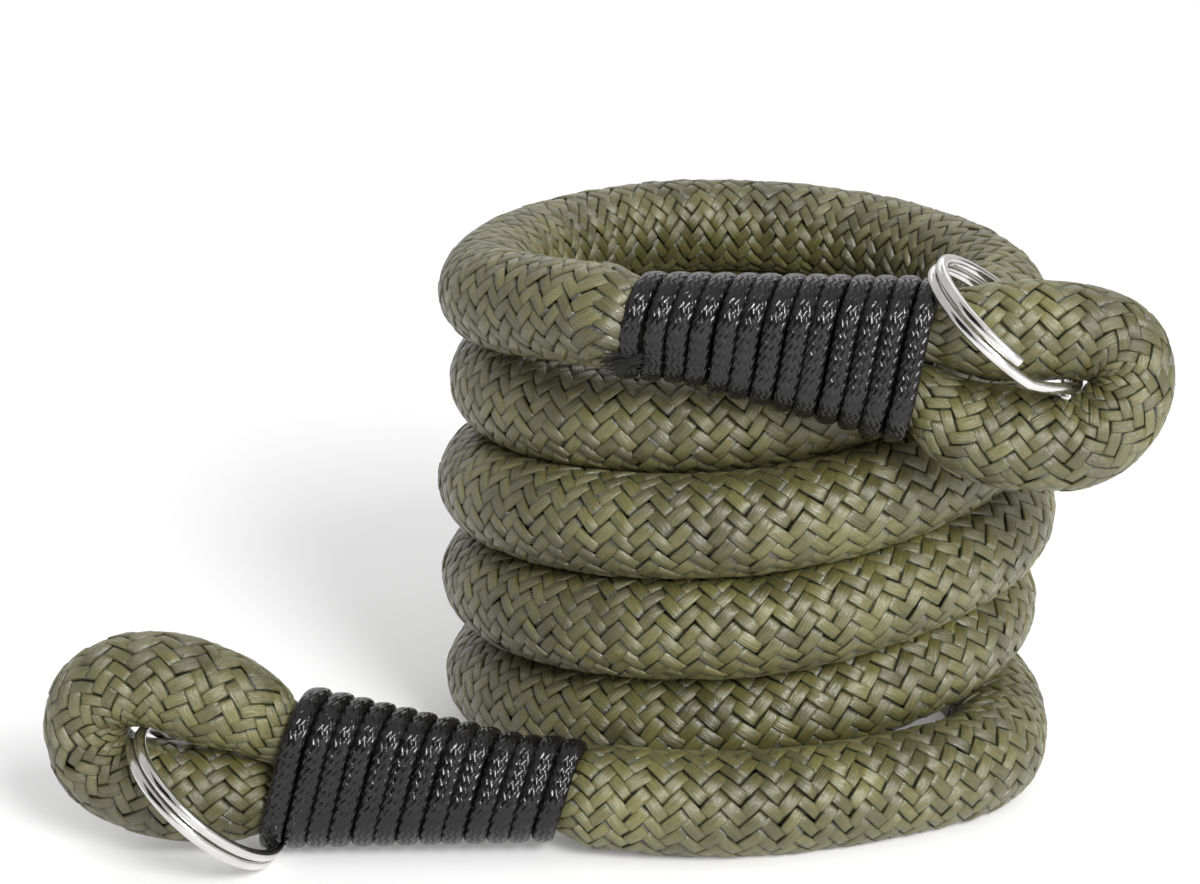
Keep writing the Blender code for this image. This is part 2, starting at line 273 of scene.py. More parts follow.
def looped_end(end):
    loop_swell = LOOP_GIRTH * ROPE_DIAMETER - BOUND_DIAMETER
    neck_swell = ROPE_DIAMETER - NECK_DIAMETER
    guides = []
    for step in range(TAIL_STEPS):
        depth = TAIL_LENGTH * (1.0 - step / TAIL_STEPS)
        offset, diameter = tail_section(depth)
        guides.append((end.point(-depth, offset), diameter))
    for away, swell, opening in LOOP_SWELL:
        diameter = BOUND_DIAMETER + loop_swell * swell
        apart = diameter + EYE_HEIGHT * opening * end.gape
        guides.append((end.point(away * end.eye_along, apart), diameter))
    radius = end.bend_radius - BEND_PRESS
    for step in range(BEND_STEPS + 1):
        turn = math.pi * step / BEND_STEPS
        girth = BEND_GIRTH + (LEG_GIRTH - BEND_GIRTH) * math.cos(turn) ** 2
        along = end.eye_along + BEND_PRESS + radius * math.sin(turn)
        offset = end.bend_radius + radius * math.cos(turn)
        guides.append((end.point(along, offset), girth * ROPE_DIAMETER))
    for away, swell, _ in reversed(LOOP_SWELL):
        diameter = BOUND_DIAMETER + loop_swell * swell
        guides.append((end.point(away * end.eye_along, 0.0), diameter))
    for step in range(1, TAIL_STEPS):
        depth = WHIPPING_LENGTH * step / TAIL_STEPS
        guides.append((end.point(-depth, 0.0), bound_diameter(depth)))
    for away, swell in reversed(NECK_SWELL):
        diameter = NECK_DIAMETER + neck_swell * swell
        guides.append((end.point(-WHIPPING_LENGTH - away * ROPE_DIAMETER, 0.0), diameter))
    return guides


print("guides at one end:", len(looped_end(upper_end)))

# %% [markdown]
# The coil's own guides are read from its table, four to a quarter turn. Between two rows the value
# follows a curve that keeps the slope of its neighbours, because straight steps would show as kinks.

# %% Guides of the coil
GUIDE_STEP = 0.25
COIL_START = 0.72


def table_value(column, quarter):
    last = len(COIL_TABLE) - 1
    row = max(i for i in range(last) if COIL_TABLE[i][0] <= quarter)

    def slope(i):
        low, high = COIL_TABLE[max(i - 1, 0)], COIL_TABLE[min(i + 1, last)]
        return (high[column] - low[column]) / (high[0] - low[0])

    start, end = COIL_TABLE[row], COIL_TABLE[row + 1]
    span = end[0] - start[0]
    t = (quarter - start[0]) / span
    rise = (2 * t ** 3 - 3 * t ** 2 + 1) * start[column] + (3 * t ** 2 - 2 * t ** 3) * end[column]
    bend = (t ** 3 - 2 * t ** 2 + t) * slope(row) + (t ** 3 - t ** 2) * slope(row + 1)
    return rise + bend * span


def coil_guides():
    first, last = COIL_START, COIL_TABLE[-1][0]
    count = round((last - first) / GUIDE_STEP)
    guides = []
    for step in range(count + 1):
        quarter = first + (last - first) * step / count
        reach = table_value(1, quarter) * COIL_RADIUS
        angle = math.radians(90.0 * quarter)
        height = table_value(2, quarter) * ROPE_DIAMETER
        place = Vector((-reach * math.sin(angle), -reach * math.cos(angle), height))
        guides.append((COIL_AXIS + place, ROPE_DIAMETER))
    return guides


print("guides of the coil:", len(coil_guides()))

# %% [markdown]
# The guides lie a centimetre or more apart, so a curve is drawn through them and cut into half
# millimetres. Its pace follows the distance between the guides (a centripetal curve). A curve with
# an even pace would make small loops where a short step follows a long one.

# %% A curve through the guides
FINE_STEP = 0.0005


def spline_point(p0, p1, p2, p3, t):
    k1 = (p1 - p0).length ** 0.5
    k2 = k1 + (p2 - p1).length ** 0.5
    k3 = k2 + (p3 - p2).length ** 0.5
    k = k1 + (k2 - k1) * t
    a1 = p0.lerp(p1, k / k1)
    a2 = p1.lerp(p2, (k - k1) / (k2 - k1))
    a3 = p2.lerp(p3, (k - k2) / (k3 - k2))
    b1 = a1.lerp(a2, k / k2)
    b2 = a2.lerp(a3, (k - k1) / (k3 - k1))
    return b1.lerp(b2, (k - k1) / (k2 - k1))


def smooth_route(guides, step):
    route = [guides[0]]
    for i in range(len(guides) - 1):
        p1, d1 = guides[i]
        p2, d2 = guides[i + 1]
        p0 = guides[i - 1][0] if i > 0 else p1 * 2 - p2
        p3 = guides[i + 2][0] if i + 2 < len(guides) else p2 * 2 - p1
        count = max(1, round((p2 - p1).length / step))
        for k in range(1, count):
            t = k / count
            route.append((spline_point(p0, p1, p2, p3, t), d1 + (d2 - d1) * t))
        route.append((p2, d2))
    return route


print("points between two guides:", len(smooth_route(coil_guides()[:2], FINE_STEP)))

# %% [markdown]
# Now the whole rope is one list: the upper end, the coil, a guide at the front, and the lower end the
# other way round. A running average eases the joins, since rope this thick turns only slowly.

# %% The line of the rope
EASE_POINTS = 5


def eased(values, reach):
    window = np.ones(2 * reach + 1) / (2 * reach + 1)
    return np.convolve(np.pad(values, reach, "edge"), window, "valid")


last_height = COIL_TABLE[-1][2] * ROPE_DIAMETER
front = (COIL_AXIS + Vector((0.0, -COIL_RADIUS - END_STEP, last_height)), ROPE_DIAMETER)
rope_guides = looped_end(upper_end) + coil_guides() + [front] + looped_end(lower_end)[::-1]
rope_route = smooth_route(rope_guides, FINE_STEP)
rope_points = np.array([place for place, _ in rope_route])
rope_points = np.stack([eased(rope_points[:, k], EASE_POINTS) for k in range(3)], axis=1)
steps = np.linalg.norm(np.diff(rope_points, axis=0), axis=1)
rope_run = np.concatenate(([0.0], np.cumsum(steps)))
rope_length = rope_run[-1]
print("rope length in m:", round(float(rope_length), 3), "points:", len(rope_points))

# %% [markdown]
# ## Directions across the rope
# The braid wraps round this line, so every point of it needs two directions across the rope. They are
# carried along from point to point without twisting, because a rope that is coiled by hand isn't
# wrung. The radius follows the guides, smoothed a little, since a braid can't step from thick to thin.

# %% Frames along the rope
def frames_along(points):
    tangents = np.gradient(points, axis=0)
    tangents /= np.linalg.norm(tangents, axis=1)[:, None]
    sides = np.empty_like(points)
    side = np.cross(tangents[0], (0.0, 1.0, 0.0))
    for i, tangent in enumerate(tangents):
        side = side - tangent * side.dot(tangent)
        side /= np.linalg.norm(side)
        sides[i] = side
    return tangents, sides, np.cross(tangents, sides)


rope_tangents, rope_sides, rope_normals = frames_along(rope_points)
rope_radius = eased(np.array([diameter for _, diameter in rope_route]) / 2, EASE_POINTS)
print("rope radius in mm, least and most:", in_mm((rope_radius.min(), rope_radius.max())))

# %% [markdown]
# ## The core of the rope
# Between the strands of the braid the eye sees into shade. A plain dark tube inside the braid gives
# that shade, and it also is the rope's one true line: it starts at the tail inside the upper binding
# and has the rope's whole length. A curve with a round bevel makes it, with the radius set at each
# point. Like every finished piece it then rides on a body of the strap and hides the solid it stands
# for. The strap is all one body, the root.

# %% The core as a curve
BRAID_DEPTH = 0.0013
BOUND_CORE = 0.7
CORE_EVERY = 5
CORE_SIDES = 5


def dress(name, data, *nodes, slot):
    piece = add_object(name, data)
    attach(piece, "root")
    if nodes:
        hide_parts(*nodes)
    return piece


core_curve = bpy.data.curves.new("rope_core", "CURVE")
core_curve.dimensions = "3D"
core_curve.bevel_depth = 1.0
core_curve.bevel_resolution = CORE_SIDES
core_curve.use_fill_caps = True
core_line = core_curve.splines.new("POLY")
core_rows = list(range(0, len(rope_points), CORE_EVERY))
core_line.points.add(len(core_rows) - 1)
for knot, row in zip(core_line.points, core_rows):
    low = max(rope_radius[row] - BRAID_DEPTH, rope_radius[row] * BOUND_CORE)
    knot.co = (rope_points[row][0], rope_points[row][1], max(rope_points[row][2], low), 1.0)
    knot.radius = low
rope_core = dress("rope_core", core_curve, "rope", slot="rope")
print("core points:", len(core_rows))

# %% [markdown]
# ## How the braid is laid
# Thirty-two flat bundles of yarn run round the rope, sixteen each way, and each passes over two of
# the others and then under two. What shows are short slips of yarn, and the slips of the two ways
# make zigzags that run along the rope. Seen as a lattice, a crossing lies at every row and column
# whose numbers add up to an even one; two rows show the one way, and the next two show the other.
# A slip is drawn once as a small pillow. It isn't even: the end and the edge that join the next slip
# of the same zigzag hardly drop, so the zigzag reads as one folded band, and the other end and edge
# dive under their neighbours. A ring of five corners is extruded from row to row and closed.

# %% The rows of a slip
# along: distance from the slip's middle, in lattice steps; width: share of a strand's room;
# drop: depth below the rope's surface; near, far: how far the two edges sink below the crown
SLIP_ROWS = (
    # along, width, drop, near, far
    (-1.40, 0.82, 0.00100, 0.00030, 0.00036),
    (-1.05, 0.98, 0.00038, 0.00012, 0.00036),
    (-0.72, 1.00, 0.00005, 0.00008, 0.00036),
    (0.00, 1.00, 0.00000, 0.00018, 0.00036),
    (0.72, 1.00, 0.00001, 0.00036, 0.00034),
    (1.05, 0.98, 0.00012, 0.00036, 0.00030),
    (1.40, 0.82, 0.00070, 0.00036, 0.00030),
)
EDGE = 0.54
CROWN = 0.37
CROWN_SINK = 0.00003
KEEL = 0.00090


def slip_section(along, width, drop, near, far):
    corners = ((-EDGE, near), (-CROWN, CROWN_SINK), (CROWN, CROWN_SINK), (EDGE, far), (0.0, KEEL))
    return [Vector((along, across * width, -drop - sink)) for across, sink in corners]


def slip_shape():
    shape = bmesh.new()
    places = slip_section(*SLIP_ROWS[0])
    verts = [shape.verts.new(place) for place in places]
    rim = [shape.edges.new(pair) for pair in zip(verts, verts[1:] + verts[:1])]
    for row in SLIP_ROWS[1:]:
        grown = bmesh.ops.extrude_edge_only(shape, edges=rim)["geom"]
        before, places = places, slip_section(*row)
        for vert in (item for item in grown if isinstance(item, bmesh.types.BMVert)):
            corner = min(range(len(before)), key=lambda k: (before[k] - vert.co).length)
            vert.co = places[corner]
        rim = [item for item in grown if isinstance(item, bmesh.types.BMEdge) and item.is_boundary]
    open_edges = [edge for edge in shape.edges if edge.is_boundary]
    bmesh.ops.holes_fill(shape, edges=open_edges, sides=len(verts))
    bmesh.ops.recalc_face_normals(shape, faces=shape.faces)
    shape.verts.index_update()
    return shape


shape = slip_shape()
slip = np.array([vert.co for vert in shape.verts])
faces = [[vert.index for vert in face.verts] for face in shape.faces]
slip_quads = [face for face in faces if len(face) == 4]
slip_caps = [face for face in faces if len(face) > 4]
shape.free()
print("points in a slip:", len(slip), "faces:", len(slip_quads) + len(slip_caps))

# %% [markdown]
# The full rope sets the room of a strand: its girth shared by the carriers, at the angle of the braid.
# Where a binding squeezes the rope, the columns close up and the rows open out, up to a limit. In a
# tight bend the rows crowd together. Counted this way, every point of the rope has a phase in rows.

# %% The lattice round the rope
CARRIERS = 32
BRAID_ANGLE = math.radians(51.0)
ROW_STRETCH = 1.12
COIL_TIGHTNESS = 0.2
BEND_CROWDING = 0.5
SEED = 7

full_column = math.pi * ROPE_DIAMETER / CARRIERS
strand_step = full_column / math.sin(BRAID_ANGLE)
local_column = 2 * math.pi * rope_radius / CARRIERS
full_row = math.sqrt(strand_step ** 2 - full_column ** 2)
local_row = np.sqrt(strand_step ** 2 - np.minimum(local_column, full_column) ** 2)
local_row = np.minimum(local_row, full_row * ROW_STRETCH)
turning = np.linalg.norm(np.gradient(rope_tangents, axis=0), axis=1) / np.gradient(rope_run)
tightness = eased(np.maximum(turning * rope_radius - COIL_TIGHTNESS, 0.0), EASE_POINTS)
local_row = local_row / (1.0 + BEND_CROWDING * tightness)
rope_phase = np.concatenate(([0.0], np.cumsum(steps / ((local_row[1:] + local_row[:-1]) / 2))))


def slip_middles():
    last = int(rope_phase[-1]) - 2
    middles = []
    for row in range(1, last):
        if row % 4 in (1, 3):
            way = 1 if row % 4 == 3 else -1
            for column in range(row % 2, CARRIERS, 2):
                middles.append((row + 0.5, column + 0.5 * way, way))
    return np.array(middles)


middles = slip_middles()
print("lattice rows:", int(rope_phase[-1]), "slips:", len(middles))

# %% [markdown]
# ## Laying the slips on the rope
# A slip is placed by its row and column in the lattice and its height over the rope. Its row gives a
# point of the rope's line, its column an angle round it. Worked out for all slips at once with array
# arithmetic, this bends each of them onto the round of the rope.

# %% A place on the rope
def on_rope(phase, column, height):
    along = np.interp(phase, rope_phase, rope_run)
    angle = column * (2 * math.pi / CARRIERS)

    def at(values):
        return np.stack([np.interp(along, rope_run, values[:, k]) for k in range(3)], axis=-1)

    radius = (np.interp(along, rope_run, rope_radius) + height)[..., None]
    outward = at(rope_sides) * np.cos(angle)[..., None] + at(rope_normals) * np.sin(angle)[..., None]
    return at(rope_points) + outward * radius


first_slip = on_rope(middles[:1, 0], middles[:1, 1], np.zeros(1))[0]
print("first slip in mm:", in_mm(first_slip))

# %% [markdown]
# Inside the bindings nothing of the braid is seen, neither on the standing rope nor on the folded
# tail. The slips there are left out, apart from a few millimetres under each mouth.

# %% Runs inside the bindings
BINDING_COVER = 0.004


def run_at(point):
    return rope_run[np.argmin(np.linalg.norm(rope_points - np.array(point), axis=1))]


def hidden_in_binding(phase):
    along = np.interp(phase, rope_phase, rope_run)
    hidden = np.zeros(len(along), bool)
    for start, end in binding_runs:
        hidden |= (along > start) & (along < end)
    return hidden


binding_runs = []
for end, rope_end in ((upper_end, 0.0), (lower_end, rope_length)):
    tail = run_at(end.point(0.0, tail_section(0.0)[0]))
    neck, mouth = run_at(end.point(-WHIPPING_LENGTH, 0.0)), run_at(end.point(0.0, 0.0))
    for one, other in ((neck, mouth), (tail, rope_end)):
        low, high = min(one, other), max(one, other)
        binding_runs.append((low + BINDING_COVER * (low > 0.0),
                             high - BINDING_COVER * (high < rope_length)))
print("runs inside the bindings in mm:", [in_mm(run) for run in binding_runs])

# %% [markdown]
# Nine thousand small pillows would be slow as objects, so they are joined into a few meshes, one for
# each stretch of the rope. No slip of a real braid lies quite like the next, so each is slid, turned,
# widened and lifted by a little chance. Where the rope lies on the table it is pressed flat. Every
# slip also carries its own tone, as the yarn isn't all of one tone; how far each point lies below the
# rope's surface, which the yarn uses to paint shade into the grooves; and a map that runs along its
# yarn, for the fine threads.

# %% Many slips as one mesh
GROOVE_SHADE_DEPTH = 0.0006
LIFT_VARIATION = 0.00006
SLIDE_VARIATION = 0.035
WIDTH_VARIATION = 0.04
TURN_VARIATION = math.radians(3.0)
MAP_SPREAD = 40.0
chance = np.random.default_rng(SEED)


def slip_places(chosen):
    count = len(chosen)
    wider = chance.normal(1.0, WIDTH_VARIATION, (count, 1))
    turned = chance.normal(0.0, TURN_VARIATION, (count, 1))
    slid = chance.normal(0.0, SLIDE_VARIATION, (2, count, 1))
    along = slip[:, 0] - slip[:, 1] * turned + slid[0]
    across = slip[:, 1] * wider + slip[:, 0] * turned + slid[1]
    phase = chosen[:, 0, None] + along + across
    column = chosen[:, 1, None] + chosen[:, 2, None] * (along - across)
    lift = chance.normal(0.0, LIFT_VARIATION, (count, 1))
    places = on_rope(phase, column, slip[:, 2] + lift).reshape(-1, 3)
    places[:, 2] = np.maximum(places[:, 2], 0.0)
    return places


def repeated_faces(faces, count, flips):
    repeated = np.array(faces)[None] + np.arange(count)[:, None, None] * len(slip)
    repeated[flips] = repeated[flips][:, :, ::-1]
    return repeated.reshape(-1)


def mesh_from_slips(name, chosen):
    count, size = len(chosen), len(slip)
    places = slip_places(chosen)
    flips = chosen[:, 2] < 0
    corners = np.concatenate([repeated_faces(faces, count, flips) for faces in (slip_quads, slip_caps)])
    sizes = np.repeat([len(slip_quads[0]), len(slip_caps[0])],
                      [count * len(slip_quads), count * len(slip_caps)])
    mesh = bpy.data.meshes.new(name)
    mesh.vertices.add(len(places))
    mesh.vertices.foreach_set("co", places.astype(np.float32).reshape(-1))
    mesh.loops.add(len(corners))
    mesh.loops.foreach_set("vertex_index", corners.astype(np.int32))
    mesh.polygons.add(len(sizes))
    mesh.polygons.foreach_set("loop_start", (np.cumsum(sizes) - sizes).astype(np.int32))
    mesh.update(calc_edges=True)
    threads = mesh.uv_layers.new(name="threads")
    shift = chance.uniform(0.0, MAP_SPREAD, (count, 1))
    flat = np.stack((slip[:, 0] + shift, np.broadcast_to(slip[:, 1], (count, size))), axis=-1)
    threads.data.foreach_set("uv", flat.reshape(-1, 2)[corners].astype(np.float32).reshape(-1))
    shades = np.repeat(chance.uniform(0.0, 1.0, count), size)
    # How far each point lies below the rope's surface, kept so that the yarn can paint shade into the
    # grooves.
    depths = np.tile(np.clip(-slip[:, 2] / GROOVE_SHADE_DEPTH, 0.0, 1.0), count)
    for label, values in (("shade", shades), ("groove_shade", depths)):
        mesh.attributes.new(label, "FLOAT", "POINT").data.foreach_set("value", values.astype(np.float32))
    mesh.shade_smooth()
    mesh.validate()
    return mesh


shown = middles[~hidden_in_binding(middles[:, 0])]
print("slips that show:", len(shown))

# %% [markdown]
# The stretches meet between two rows of slips, so their joins can't be seen. All of them ride on the
# strap's one body and take the rope's finish. The core already stands for the solid.

# %% The braid in six stretches
STRETCH_ENDS = (0.075, 0.33, 0.60, 0.87, 1.125)

slip_run = np.interp(shown[:, 0], rope_phase, rope_run)
stretches = []
bounds = (0.0,) + STRETCH_ENDS + (rope_length,)
for number, (start, end) in enumerate(zip(bounds[:-1], bounds[1:]), 1):
    name = f"rope_braid_{number}"
    mesh = mesh_from_slips(name, shown[(slip_run >= start) & (slip_run < end)])
    stretches.append(dress(name, mesh, slot="rope"))
    print(name, "faces:", len(mesh.polygons))

# %% [markdown]
# ## The waxed windings
# Each binding is one black cord, wound tight round the rope and its folded tail. Going from the loop
# towards the coil the bundle inside gets thinner, so the turns do too. A helix on the outline of the
# two round sections gives the cord's line. A plain helix looks machine-made, so the turns are
# sheared and bowed along the binding, more at one end than at the other, and wobble a little. Both
# ends of the cord dive into the rope, where the real cord is tucked under its own turns.

# %% The line of a winding
TURN_POINTS = 48
WINDING_WIDTH = 0.00258
WINDING_HEIGHT = 0.0020
TUCK_POINTS = 16
TUCK_DEPTH = 0.0032
UPPER_SHEAR = 0.03
UPPER_BOW = (0.08, 0.26)
LOWER_SHEAR = 0.11
LOWER_BOW = (-0.16, -0.18)
WOBBLE = 0.00009
WOBBLE_RATE = 0.37
START_ANGLE = math.pi / 2


def winding_line(end, shear, bow):
    pitch = CORD_DIAMETER + CORD_CLEARANCE
    turns = int((WHIPPING_LENGTH - CORD_DIAMETER) / pitch) + 1
    start = (WHIPPING_LENGTH - turns * pitch) / 2
    slant = math.tan(math.radians(WHIPPING_LEAN))
    last = turns * TURN_POINTS
    line = []
    for step in range(last + 1):
        along = -start - pitch * step / TURN_POINTS
        offset, tail_diameter = tail_section(-along)
        angle = math.tau * step / TURN_POINTS + START_ANGLE
        outward = end.side * math.cos(angle) + end.normal * math.sin(angle)
        leaned = outward - end.axis * slant * math.cos(angle)
        tucked = max(0.0, 1.0 - min(step, last - step) / TUCK_POINTS) ** 2
        lift = CORD_CLEARANCE + CORD_DIAMETER - WINDING_HEIGHT / 2 - TUCK_DEPTH * tucked
        standing = end.point(along, 0.0) + leaned * (bound_diameter(-along) / 2 + lift)
        tail = end.point(along, offset) + leaned * (tail_diameter / 2 + lift)
        place = max(standing, tail, key=lambda spot: spot.dot(outward))
        from_middle = place - end.point(along, BOUND_DIAMETER / 2)
        bowed = bow[0] + (bow[1] - bow[0]) * step / last
        slide = bowed * from_middle.dot(end.normal) - shear * from_middle.dot(end.side)
        slide += WOBBLE * math.sin(WOBBLE_RATE * angle) * (1.0 - tucked)
        line.append((place + end.axis * slide, outward))
    return line


winding_lines = {"upper_whipping": winding_line(upper_end, UPPER_SHEAR, UPPER_BOW),
                 "lower_whipping": winding_line(lower_end, LOWER_SHEAR, LOWER_BOW)}
for name, line in winding_lines.items():
    length = sum((b[0] - a[0]).length for a, b in zip(line, line[1:]))
    print(name, "cord length in mm:", round(1000 * length))

# %% [markdown]
# A round bevel on a curve turns a line into a tube with closed ends, and the curve is then made a
# mesh, because the next step shapes its points one by one. Here the tubes are thin, so that each of
# their points lies close to its own place on the line. The same helper later makes the threads of the
# frayed end.

# %% Thin tubes
CORD_BEVEL = 7
THIN = 0.0004


def tube_mesh(name, lines, thickness, bevel):
    curve = bpy.data.curves.new(name, "CURVE")
    curve.dimensions = "3D"
    curve.bevel_depth = thickness / 2
    curve.bevel_resolution = bevel
    curve.use_fill_caps = True
    for line in lines:
        spline = curve.splines.new("POLY")
        spline.points.add(len(line) - 1)
        for knot, place in zip(spline.points, line):
            knot.co = (*place, 1.0)
    piece = add_object(name, curve)
    bpy.context.view_layer.update()
    graph = bpy.context.evaluated_depsgraph_get()
    mesh = bpy.data.meshes.new_from_object(piece.evaluated_get(graph))
    bpy.data.objects.remove(piece)
    mesh.name = name
    mesh.shade_smooth()
    return mesh


thin_cords = {}
for node, line in winding_lines.items():
    places = [place for place, _ in line]
    thin_cords[node] = tube_mesh(node + "_cord", [places], THIN, CORD_BEVEL)
    print(node, "faces:", len(thin_cords[node].polygons))

# %% [markdown]
# A cord that is wound tight is pressed oval. So each thin tube is spread out from its own line: wide
# along the binding until it touches the next turn, and low away from the rope. The same step gives it
# a map, with the length of the cord one way and the way round it the other, for the cord's own fine
# braid.

# %% Pressed cords
CORNER_FULLNESS = 0.6
TINY = 0.01


def press(mesh, line):
    centres = np.array([place for place, _ in line])
    outward = np.array([away for _, away in line])
    tangents = np.gradient(centres, axis=0)
    tangents /= np.linalg.norm(tangents, axis=1)[:, None]
    outward -= tangents * np.sum(outward * tangents, axis=1)[:, None]
    outward /= np.linalg.norm(outward, axis=1)[:, None]
    across = np.cross(tangents, outward)
    places = np.empty(len(mesh.vertices) * 3, np.float32)
    mesh.vertices.foreach_get("co", places)
    places = places.reshape(-1, 3).astype(float)
    near = np.array([np.argmin(np.sum((centres - place) ** 2, axis=1)) for place in places])
    offset = (places - centres[near]) / (THIN / 2)
    up = np.sum(offset * outward[near], axis=1)
    side = np.sum(offset * across[near], axis=1)
    boxy = np.maximum(np.hypot(side, up), TINY) / np.maximum((side ** 4 + up ** 4) ** 0.25, TINY)
    swell = (1.0 + (boxy - 1.0) * CORNER_FULLNESS)[:, None]
    places = centres[near] + swell * (outward[near] * up[:, None] * WINDING_HEIGHT / 2
                                      + across[near] * side[:, None] * WINDING_WIDTH / 2)
    mesh.vertices.foreach_set("co", places.astype(np.float32).reshape(-1))
    run = np.concatenate(([0.0], np.cumsum(np.linalg.norm(np.diff(centres, axis=0), axis=1))))
    flat = np.stack((run[near] / CORD_DIAMETER, np.arctan2(side, up) / math.tau), axis=1)
    corners = np.empty(len(mesh.loops), np.int32)
    mesh.loops.foreach_get("vertex_index", corners)
    while mesh.uv_layers:
        mesh.uv_layers.remove(mesh.uv_layers[0])
    threads = mesh.uv_layers.new(name="threads")
    threads.data.foreach_set("uv", flat[corners].astype(np.float32).reshape(-1))
    mesh.update()


windings = []
for node, line in winding_lines.items():
    press(thin_cords[node], line)
    windings.append(dress(node + "_cord", thin_cords[node], node, slot="waxed_cord"))
print("windings:", [winding.name for winding in windings])

# %% [markdown]
# ## The frayed end of the waxed cord
# At the coil's side of the upper binding the cord's own end has come undone: a small dark brush of
# thin threads lies in the groove between two turns of the rope. Every thread is a thin tube that
# starts in one bundle and wanders off a little on its way.

# %% The frayed end
FRAY_THREADS = 170
FRAY_LENGTH = 0.0037
FRAY_THICKNESS = 0.00011
FRAY_POINTS = 5
FRAY_ALONG = 0.0012
FRAY_BELOW = 0.0041
FRAY_FRONT = 0.0022
FRAY_DROOP = 0.26
FRAY_LEAN = 0.02
FRAY_BUNDLE = 0.0007
FRAY_SPREAD = 0.20
FRAY_SHORTEST = 0.55
fray_chance = np.random.default_rng(SEED + 1)

fray_root = upper_end.point(FRAY_ALONG - WHIPPING_LENGTH, 0.0) + upper_end.side * FRAY_BELOW
fray_root -= upper_end.normal * FRAY_FRONT
fray_way = upper_end.side * FRAY_DROOP - upper_end.axis - upper_end.normal * FRAY_LEAN
fray_way.normalize()
fray_lines = []
for _ in range(FRAY_THREADS):
    start = fray_root + Vector(fray_chance.normal(0.0, FRAY_BUNDLE, 3))
    spread = Vector(fray_chance.normal(0.0, FRAY_SPREAD, 3))
    length = FRAY_LENGTH * fray_chance.uniform(FRAY_SHORTEST, 1.0)
    shares = [point / (FRAY_POINTS - 1) for point in range(FRAY_POINTS)]
    fray_lines.append([start + (fray_way + spread * share) * (length * share) for share in shares])
fray_mesh = tube_mesh("upper_frayed_end", fray_lines, FRAY_THICKNESS, 1)
frayed_end = dress("upper_frayed_end", fray_mesh, slot="waxed_cord")
print("frayed threads:", len(fray_lines), "faces:", len(fray_mesh.polygons))

# %% [markdown]
# ## The split rings
# A split ring is two coils of springy wire lying face to face, with a short step where one coil
# passes over to the other. A ring is made flat at the origin and then put where it hangs. That place
# needs two directions: from the ring's centre to the eye of the loop, and along the wire there.

# %% Where a ring hangs
RING_CLEARANCE = 0.00015
UPPER_RING_SPREAD = (Vector((0.742, -0.179, -0.646)), Vector((0.241, 0.970, 0.008)))
LOWER_RING_SPREAD = (Vector((-0.716, 0.28, 0.64)), Vector((0.10, 0.96, -0.10)))


def ring_place(end, spread):
    reach, sweep = (direction.normalized() for direction in spread)
    sweep = (sweep - reach * sweep.dot(reach)).normalized()
    axis = reach.cross(sweep)
    radius = (RING_DIAMETER - RING_WIRE) / 2
    eye = end.point(end.eye_along, end.bend_radius)
    turn = Matrix((reach, sweep, axis)).transposed().to_4x4()
    return Matrix.Translation(eye - reach * radius) @ turn


ring_places = {"upper_split_ring": ring_place(upper_end, UPPER_RING_SPREAD),
               "lower_split_ring": ring_place(lower_end, LOWER_RING_SPREAD)}
for node, place in ring_places.items():
    print(node, "centre in mm:", in_mm(place.translation))

# %% [markdown]
# The wire's section starts as a circle that is made a little square. It is spun round the ring's axis
# in three goes: the lower flat coil, the short step that climbs one wire's thickness, and the upper
# flat coil. The two cut ends are closed and their sharp edge is taken off, as on a tumbled ring. Each
# ring has its step somewhere else, as it hangs by chance: RING_STEP_AT counts the degrees from the eye.

# %% The wire of a ring
RING_COILS = 2
RING_JOG = 30.0
RING_POINTS = 96
WIRE_SIDES = 24
WIRE_SQUARENESS = 2.7
END_BEVEL = RING_WIRE / 8
RING_STEP_AT = {"upper_split_ring": -43.0, "lower_split_ring": 15.0}


def squared(share):
    return math.copysign(abs(share) ** (2 / WIRE_SQUARENESS), share) * RING_WIRE / 2


def finished_mesh(name, shape):
    mesh = bpy.data.meshes.new(name)
    shape.to_mesh(mesh)
    shape.free()
    return mesh


def ring_mesh(name, step_at):
    shape = bmesh.new()
    half = (RING_WIRE + RING_CLEARANCE) / 2
    wound = 360.0 * RING_COILS - 2 * RING_JOG
    flat_turn = (wound - RING_JOG) / 2
    wire = bmesh.ops.create_circle(shape, segments=WIRE_SIDES, radius=1.0)["verts"]
    for vert in wire:
        across, up = squared(vert.co.x), squared(vert.co.y)
        vert.co = ((RING_DIAMETER - RING_WIRE) / 2 + across, 0.0, up - half)
    start = Matrix.Rotation(math.radians(step_at - wound / 2), 3, "Z")
    bmesh.ops.rotate(shape, verts=wire, cent=(0.0, 0.0, 0.0), matrix=start)
    rim = list(shape.edges)
    for sweep, rise in ((flat_turn, 0.0), (RING_JOG, 2 * half), (flat_turn, 0.0)):
        count = round(sweep / 360.0 * RING_POINTS)
        spun = bmesh.ops.spin(shape, geom=rim, cent=(0.0, 0.0, 0.0), axis=(0.0, 0.0, 1.0),
                              dvec=(0.0, 0.0, rise / count), angle=math.radians(sweep), steps=count)
        rim = spun["geom_last"]
    open_edges = [edge for edge in shape.edges if edge.is_boundary]
    caps = bmesh.ops.holes_fill(shape, edges=open_edges, sides=WIRE_SIDES)["faces"]
    bmesh.ops.bevel(shape, geom=[edge for cap in caps for edge in cap.edges], offset=END_BEVEL,
                    affect="EDGES", segments=2, profile=0.5, material=-1)
    bmesh.ops.recalc_face_normals(shape, faces=shape.faces)
    mesh = finished_mesh(name, shape)
    mesh.shade_smooth()
    return mesh


rings = []
for node, step_at in RING_STEP_AT.items():
    mesh = ring_mesh(node + "_wire", step_at)
    mesh.transform(ring_places[node])
    rings.append(dress(node + "_wire", mesh, node, slot="ring_steel"))
    print(node, "faces:", len(mesh.polygons))
